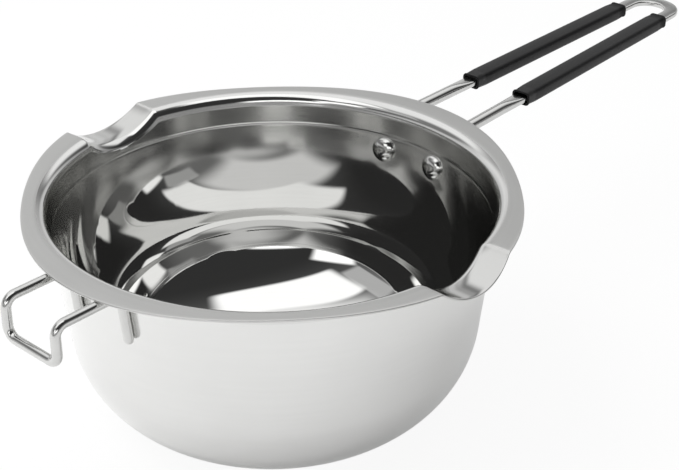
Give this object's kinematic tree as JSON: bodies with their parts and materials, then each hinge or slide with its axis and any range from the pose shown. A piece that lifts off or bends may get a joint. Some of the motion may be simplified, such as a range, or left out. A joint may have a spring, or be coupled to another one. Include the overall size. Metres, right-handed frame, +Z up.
{
  "type": "double boiler insert pot",
  "caption": "Round steel insert pot with a wide flange and pour spouts, a wire hook that catches the saucepan's rim, and a riveted rod handle with rubber grips.",
  "frame": {"origin": "centre of the flat base's underside, on the bowl's axis", "axes": "+X along the handle, away from the bowl; +Z up; the two pour spouts lie at +Y and -Y"},
  "size_m": [0.3807, 0.1868, 0.088],
  "materials": {
    "bowl_steel": "satin",
    "rod_steel": "polished",
    "grip_rubber": "matte"
  },
  "bodies": {
    "root": {"bowl": "bowl_steel", "handle_rod": "rod_steel", "grip_left": "grip_rubber", "grip_right": "grip_rubber", "rivet_left": "rod_steel", "rivet_right": "rod_steel", "pan_hook": "rod_steel"}
  },
  "joints": []
}
